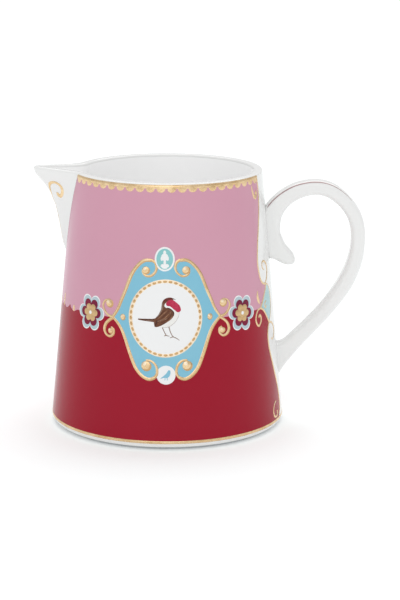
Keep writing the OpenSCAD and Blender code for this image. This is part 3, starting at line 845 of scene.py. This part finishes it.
piece(bird, "songbird_plumage", [plumage, dark_brown, grey_brown, crimson, pale_down, fawn, cap_brown],
    ["songbird_brown"], sharp=60)

face_paint = bmesh.new()
daub(face_paint, breast, 4, cherry)
stroke(face_paint, [(1.9, 6.7), (2.6, 6.6), (3.2, 6.3)], 0.34, (1, 0.7, 0.3), dark, high=0.07 * mm)
lay_ball(face_paint, 1 * mm, 5.7 * mm, 0.24 * mm, high=0.08 * mm, base=paint)
onto_wall(face_paint)
piece(face_paint, "songbird_face_and_breast", [crimson, dark_brown, grey_brown, crimson, pale_down],
    ["songbird_red"], sharp=60)


# ---- Cameo ----
# An upright oval with a white border holds a tiny white bust in relief on turquoise,
# with piled hair, draped shoulders and a plain face: it is two thirds as wide as high,
# five eyes wide, with the eyes at half its height and the nose halfway to the chin.
cameo_z = medal_z + 19.95 * mm
cameo_r = 3.35 * mm
cameo_tall = 1.24
turquoise = fired("Pale turquoise enamel", (0.2, 0.5, 0.5), (0.27, 0.58, 0.6), scale=150, speckle=0.3,
    **enamel)
cameo_turn = artwork_turn - (math.sin(artwork_lean) * (cameo_z - medal_z) + 0.3 * mm) / wall_r(cameo_z)
bm = bmesh.new()
lay_line(bm, ring_points(cameo_r - 0.3 * mm, 72, cameo_tall), 0.62 * mm, high=0.11 * mm, closed=True)
onto_wall(bm, turn=cameo_turn, height=cameo_z)
piece(bm, "cameo_border", [white], ["cameo_rim"], sharp=70)
bm = film_of(ring_points(cameo_r - 0.25 * mm, 64, cameo_tall), 0, 3 * film, artwork_step)
onto_wall(bm, turn=cameo_turn, height=cameo_z)
piece(bm, "cameo_turquoise", [turquoise], ["cameo_ground"])

head_z = 0.3
head_half = 1.1
face_half = head_half * 2 / 3
eye = face_half * 2 / 5
nose_z = head_z - head_half / 2
mouth_z = nose_z - head_half / 6
bust = bmesh.new()
for x, z, rx, rz, high in (
    (0, 2.2, 0.5, 0.7, 0.13),
    (0, 0.8, 1.15, 1.1, 0.14),
    (-0.95, 0.2, 0.45, 0.75, 0.13),
    (0.95, 0.2, 0.45, 0.75, 0.13),
    (0, -1.25, 0.45, 0.85, 0.12),
    (0, -2.3, 1.45, 0.65, 0.14),
    (-0.7, -2.1, 0.65, 0.5, 0.16),
    (0.7, -2.1, 0.65, 0.5, 0.16),
    (0, -2.95, 0.9, 0.28, 0.12),
    (0, head_z, face_half, head_half, 0.18),
    (0, (head_z + nose_z) / 2, 0.3 * eye, (head_z - nose_z) / 2, 0.205),
    (-eye, head_z, eye / 2, 0.06, 0.195),
    (eye, head_z, eye / 2, 0.06, 0.195),
    (0, mouth_z, 0.7 * eye, 0.06, 0.195),
):
    place = Matrix.Translation((x * mm, paint, z * mm)) @ Matrix.Diagonal((rx * mm, high * mm, rz * mm, 1))
    bmesh.ops.create_uvsphere(bust, u_segments=20, v_segments=12, radius=1, matrix=place)
onto_wall(bust, turn=cameo_turn, height=cameo_z)
piece(bust, "cameo_bust", [white], ["cameo_figure"], sharp=70)


# ---- Roundel ----
# A small white disc closes the shield's foot, with a tiny blue bird on it.
roundel_z = medal_z - 19.1 * mm
bm = film_of(ring_points(3.2 * mm, 64), 0, 3 * film, artwork_step)
onto_wall(bm, height=roundel_z)
piece(bm, "roundel_white", [white], ["roundel"])
bm = bmesh.new()
small_bird = flowing(millimetres([(-1.9, -1.2), (-0.6, -0.9), (0.4, -1), (1.2, -0.3), (1.5, 0.7), (1.4, 1.5),
    (0.8, 1.6), (0.2, 0.7), (-0.7, -0.2)]), 4, closed=True)
daub(bm, small_bird, 3, 0)
lay_line(bm, millimetres([(-0.3, -1), (-0.4, -1.8)]), 0.22 * mm, base=paint, high=0.04 * mm)
lay_line(bm, millimetres([(0.4, -1), (0.4, -1.8)]), 0.22 * mm, base=paint, high=0.04 * mm)
onto_wall(bm, height=roundel_z)
piece(bm, "roundel_blue_bird", [blue], ["roundel_bird"], sharp=60)


# ---- Side flowers ----
# A flower of six petals lies on the meeting line on each side of the shield. Its layers
# are white, pale turquoise and dark red, with a gold heart and a white centre.
flower_angle = math.radians(43.8)
petal_points = 132
flower_z = medal_z - 0.35 * mm
petal_turn = {-1: 0, 1: math.radians(7)}
petals = 6


def petal_outline(reach, roundness=0.53):
    """The outline of six round petals side by side, each a part of a circle."""
    out = reach / (1 + roundness)
    outline = []
    for i in range(petal_points):
        a = math.tau * i / petal_points
        lean = (a + math.pi / petals) % (math.tau / petals) - math.pi / petals
        r = out * (math.cos(lean) + math.sqrt(roundness ** 2 - math.sin(lean) ** 2))
        outline.append(Vector((0.93 * r * math.cos(a), r * math.sin(a))))
    return outline


def at_flowers(name, outline, level, material, node):
    """Lays a plate on both flowers, each turned as petal_turn says."""
    whole = bmesh.new()
    for side_x in (-1, 1):
        cos, sin = math.cos(petal_turn[side_x]), math.sin(petal_turn[side_x])
        turned = [Vector((side_x * (p.y * sin - p.x * cos), p.x * sin + p.y * cos)) for p in outline]
        bm = film_of(turned, 0, film + level * film * 0.7, artwork_step)
        onto_wall(bm, turn=side_x * flower_angle + artwork_turn, height=flower_z, lean=0)
        add_to(whole, bm)
    piece(whole, name, [material], [node])


flower_red = fired("Flower red", (0.27, 0.004, 0.03), (0.1, 0.004, 0.035), scale=260, speckle=0.4, shine=0.2,
    **enamel)
petal_green = fired("Petal green", (0.36, 0.5, 0.52), (0.48, 0.56, 0.64), scale=160, speckle=0.6, **enamel)
at_flowers("flower_white_edges", petal_outline(6.5 * mm), 1, white, "flower_edges")
at_flowers("flower_outer_petals", petal_outline(6.1 * mm, 0.52), 2, petal_green, "flower_petals")
at_flowers("flower_red_petals", petal_outline(4.9 * mm, 0.51), 3, flower_red, "flower_inner")

hearts = bmesh.new()
for side_x in (-1, 1):
    bm = bmesh.new()
    for i in range(petals):
        a = petal_turn[side_x] + math.tau * i / petals
        lay_ball(bm, side_x * -2 * mm * math.cos(a), 2 * mm * math.sin(a), 1.15 * mm, high=0.14 * mm,
            base=3 * film)
    lay_ball(bm, 0, 0, 1.7 * mm, high=0.16 * mm, base=3 * film)
    before = len(bm.faces)
    lay_ball(bm, 0, 0, 0.75 * mm, high=0.26 * mm, base=3 * film)
    tint(bm, before, 1)
    onto_wall(bm, turn=side_x * flower_angle + artwork_turn, height=flower_z, lean=0)
    add_to(hearts, bm)
heart_gold = fired("Heart gold", (0.5, 0.31, 0.13), (0.7, 0.5, 0.28), scale=300, speckle=0.6,
    gloss=(0.25, 0.36), wave=0.12, metallic=0.9)
piece(hearts, "flower_gold_hearts", [heart_gold, white], ["flower_hearts"], sharp=70)


# ---- Panels and gold beside the handle ----
# The white field beside the handle has a gold border with curls, and a turquoise panel
# lies at its waist on each side.
panel_far = degrees_out(flowing([(69, 38.2), (71.4, 39.6), (73.6, 42.6), (74.4, 46), (73.6, 49), (70.9, 51.3),
    (68.5, 51.8)], 4))
panel = list(reversed(red_tip)) + pink_tip[::-1][1:] + list(reversed(panel_far))[:-1]
bm = film_of(panel, 0, 2 * film, artwork_step)
round_wall(bm)
mirrored(bm)
panel_blue = fired("Panel turquoise", (0.22, 0.48, 0.49), (0.52, 0.68, 0.72), scale=220, speckle=0.4,
    **enamel)
piece(bm, "side_panels_turquoise", [panel_blue], ["side_panels"])

border = bmesh.new()


def around(line, width, sizes=(1, 1), smooth=4):
    """Lays a gold line given as angles and heights, square to the wall."""
    points = [Vector((math.radians(a) * roll_r, z * mm)) for a, z in line]
    lay_line(border, flowing(points, smooth), width * mm, sizes, base=film)


around([(66.7, 88.3)] + pink_side[1:-1] + [(67.5, 51.9)], 0.75)
around([(67.5, 51.9), (70.5, 53.6), (72.2, 55.8), (71.5, 58.3), (67.8, 59.8), (65.1, 59.5), (65.1, 57.9),
    (66.8, 56.9)], 0.75, (1, 1, 0.6))
around(pink_side[-1:] + pink_point, 0.75)
around(red_point, 0.75)
around([(58.6, 46), (57.6, 47.4), (57, 48.8), (57.3, 50.6)], 1.3, (0.4, 1.1, 1, 0.3))
around([(59.4, 44.4), (56.4, 44), (54.2, 42), (54.3, 39.9), (56.3, 38.6), (58.6, 39.6), (59.2, 41.1),
    (58, 42.2), (56.6, 41.4)], 0.8, (0.8, 1, 1))
around([(69.4, 38.6), (71.8, 40.2), (73.8, 43), (74.4, 46), (73.6, 49), (71, 51.2), (69, 51.7)], 0.45)
around([(58.7, 86.8), (59, 85.6), (59.8, 84.2), (61.3, 82.7), (63.2, 82.6), (64, 83.6), (63.2, 84.5)], 1.25,
       (0.4, 0.8, 1.1, 1.3, 1.1))
around([(66.7, 46), (64.7, 45.3), (65.1, 43.8), (66.5, 44.4)], 0.6)
around(red_side[:-1] + [(74.2, 4.1)], 0.75)
around([(68.7, 38.2), (73.6, 37.3), (76.7, 35.5), (76.9, 33), (73.3, 31.5), (71, 32.2)], 0.7, (1, 1, 0.6))
around([(70.6, 9.7), (67.6, 8.8), (66, 6.9), (66.6, 4.9), (69.3, 4.2), (71.4, 5), (71, 6.2)], 0.75,
    (0.6, 1, 0.8))
round_wall(border)
mirrored(border)
piece(border, "white_field_gold", [gold], ["side_gilding"], sharp=70)


# ---- Rim and foot gilding ----
# A thin gold line with a row of round scallops runs under the lip, and a plain gold
# line above the foot.
scallops = 58
scallop_r = 1.62 * mm
scallop_drop = 0.65 * mm
rim_line_z = wall_hi - 0.1 * mm
field_angle = math.radians(67)
crown = bmesh.new()
rim_from = -math.pi / 2 + math.asin((mouth_w(wall_hi) + mouth_gap) / rim_r)
lay_line(crown, [Vector((a * roll_r, rim_line_z)) for a in
                 (rim_from + (field_angle - rim_from) * i / 60 for i in range(61))], 1.3 * mm, base=film)
count = round((field_angle - rim_from) / (math.tau / scallops))
for i in range(count):
    a = rim_from + (field_angle - rim_from) * (i + 0.5) / count
    lay_ball(crown, a * roll_r, rim_line_z - scallop_drop, scallop_r, base=film, high=gold_high, tall=0.78)
round_wall(crown)
mirrored(crown)
piece(crown, "rim_scallops_gold", [gold], ["rim_gilding"], sharp=70)

foot = bmesh.new()
foot_z = wall_lo - 0.1 * mm
foot_line = [(-0.5, -0.05), (-0.48, 0.03), (-0.3, 0.07), (0, 0.08), (0.3, 0.07), (0.48, 0.03), (0.5, -0.05)]
rings = []
for rise, off in foot_line:
    z = foot_z + rise * mm
    rings.append(foot.verts.new((min(wall_r(z), base_r) + off * mm, 0, z)))
chain = [foot.edges.new(pair) for pair in zip(rings, rings[1:] + rings[:1])]
bmesh.ops.spin(foot, geom=rings + chain, axis=(0, 0, 1), cent=(0, 0, 0), angle=math.tau, steps=turn_steps,
    use_merge=True)
bmesh.ops.recalc_face_normals(foot, faces=foot.faces[:])
piece(foot, "foot_gold_line", [gold], ["foot_gilding"], sharp=70)


# ---- Spout gilding ----
# A gold line runs down the spout's keel, with a curl on each flank at its head.
def flank_point(t, z, off):
    """A place on the spout's outer face, raised by off."""
    def face(t, z):
        x, y = spout_outer(t, z)
        return Vector((-x, y, z))
    here = face(t, z)
    out = (face(t + 0.02, z) - face(t - 0.02, z)).cross(face(t, z + 0.1 * mm) - face(t, z - 0.1 * mm))
    out = out.normalized()
    if out.x > 0:
        out = -out
    return here + out * off


spout_gold = bmesh.new()
flat_scale = 14 * mm


def on_flank(points):
    """Places on the flank, each given as its share of the way out and its height in mm."""
    return [Vector((t * flat_scale, z * mm)) for t, z in points]


curl = on_flank(flowing([(0.95, 78.6), (0.87, 80.6), (0.81, 82.2), (0.73, 84), (0.62, 85.2), (0.51, 85.5),
    (0.43, 84.7), (0.39, 83.2), (0.41, 81.7), (0.48, 80.6), (0.56, 81), (0.55, 81.8)], 4))
keel = on_flank([(0.95, 79.2), (0.95, 77), (0.95, 74), (0.95, 71), (0.94, 68), (0.92, 65.5), (0.9, 63.5)])
lay_line(spout_gold, curl, 0.85 * mm, (0.4, 0.9, 1, 1.1, 1.5, 1.3), base=0.02 * mm)
lay_line(spout_gold, keel, 0.3 * mm, (1, 1, 0.7), base=0.01 * mm, high=0.05 * mm)
for v in spout_gold.verts:
    v.co = flank_point(min(v.co.x / flat_scale, 0.97), v.co.z, v.co.y)
mirrored(spout_gold)
piece(spout_gold, "spout_gold_curls", [gold], ["spout_gilding"], sharp=70)


# ---- Handle gilding ----
# A thin line of reddish gold is brushed along the rounded near edge of the handle's
# upper back, from the wall over the top, and fades out behind it.
# Which point of each strap section lies on that edge, and which sections the line passes
near_edge = 17
line_span = strap[84:129]
line_half = 0.26 * mm
line_high = 0.06 * mm
line_lift = 0.02 * mm
line_sides = 8
ridge = [(Vector(row[near_edge]), Vector(row[near_edge + 1])) for row in reversed(line_span)]
strip = []
for i, (upper, lower) in enumerate(ridge):
    way = ridge[min(i + 1, len(ridge) - 1)][0] - ridge[max(i - 1, 0)][0]
    across = (lower - upper).normalized()
    off = across.cross(way).normalized()
    if off.y > 0:
        off = -off
    taper = min(1, 0.5 + i / 4, 0.1 + 2.2 * (len(ridge) - 1 - i) / len(ridge))
    section = []
    for k in range(line_sides):
        a = math.tau * k / line_sides
        along = line_half * taper * math.cos(a)
        out = line_lift + line_high * math.sin(a)
        section.append((upper + lower) / 2 + across * along + off * out)
    strip.append(section + section[:1])
rose_gold = fired("Rose gold", (0.34, 0.23, 0.23), (0.47, 0.34, 0.34), scale=300, speckle=0.4,
    gloss=(0.3, 0.4), wave=0.08, metallic=0.7)
piece(skin(strip), "handle_gold_line", [rose_gold], ["handle_gilding"], sharp=70)


# ---- Table, light and camera ----
# A plain white table in a bright studio, with one wide soft light from above and a
# weaker one from the front, and the camera a little above the rim.
table = bmesh.new()
bmesh.ops.create_grid(table, x_segments=1, y_segments=1, size=4)
table_mesh = bpy.data.meshes.new("table_top")
table.to_mesh(table_mesh)
table.free()
table_top = bpy.data.objects.new("table_top", table_mesh)
bpy.context.scene.collection.objects.link(table_top)
paper, _, paper_bsdf = shader("White paper", shine=0.1)
paper_bsdf.inputs["Base Color"].default_value = (0.762, 0.785, 0.786, 1)
paper_bsdf.inputs["Roughness"].default_value = 0.9
paper_bsdf.inputs["Emission Color"].default_value = (1, 1, 1, 1)
paper_bsdf.inputs["Emission Strength"].default_value = 0.265
table_mesh.materials.append(paper)

world = bpy.data.worlds.new("Studio")
world.use_nodes = True
world.node_tree.nodes["Background"].inputs["Color"].default_value = (1, 1, 1, 1)
world.node_tree.nodes["Background"].inputs["Strength"].default_value = 0.72
bpy.context.scene.world = world


def soft_sun(name, towards, spread, power):
    """A broad soft light from far away, shining in the direction given."""
    lamp = bpy.data.lights.new(name, "SUN")
    lamp.angle = math.radians(spread)
    lamp.energy = power
    made = bpy.data.objects.new(name, lamp)
    made.rotation_euler = Vector(towards).to_track_quat("-Z", "Y").to_euler()
    bpy.context.scene.collection.objects.link(made)


soft_sun("overhead_light", (-0.1, -0.45, -0.9), 60, 1.1)
soft_sun("front_light", (0.1, 0.9, -0.5), 50, 0.5)

camera_back = 0.6629
camera_high = 0.20013
pitch = math.radians(13.356)
yaw = math.radians(0.99)
roll = math.radians(0.298)
forward = Vector((math.sin(yaw) * math.cos(pitch), math.cos(yaw) * math.cos(pitch), -math.sin(pitch)))
right = Vector((math.cos(yaw), -math.sin(yaw), 0))
up = right.cross(forward)
rolled_right = right * math.cos(roll) + up * math.sin(roll)
rolled_up = up * math.cos(roll) - right * math.sin(roll)
view = bpy.data.cameras.new("camera")
view.sensor_width = 36
view.lens = 115.64
view.clip_start = 0.01
camera = bpy.data.objects.new("camera", view)
camera.matrix_world = Matrix((
    (rolled_right.x, rolled_up.x, -forward.x, 0),
    (rolled_right.y, rolled_up.y, -forward.y, -camera_back),
    (rolled_right.z, rolled_up.z, -forward.z, camera_high),
    (0, 0, 0, 1)))
bpy.context.scene.collection.objects.link(camera)
bpy.context.scene.camera = camera
bpy.context.scene.view_settings.view_transform = "Standard"
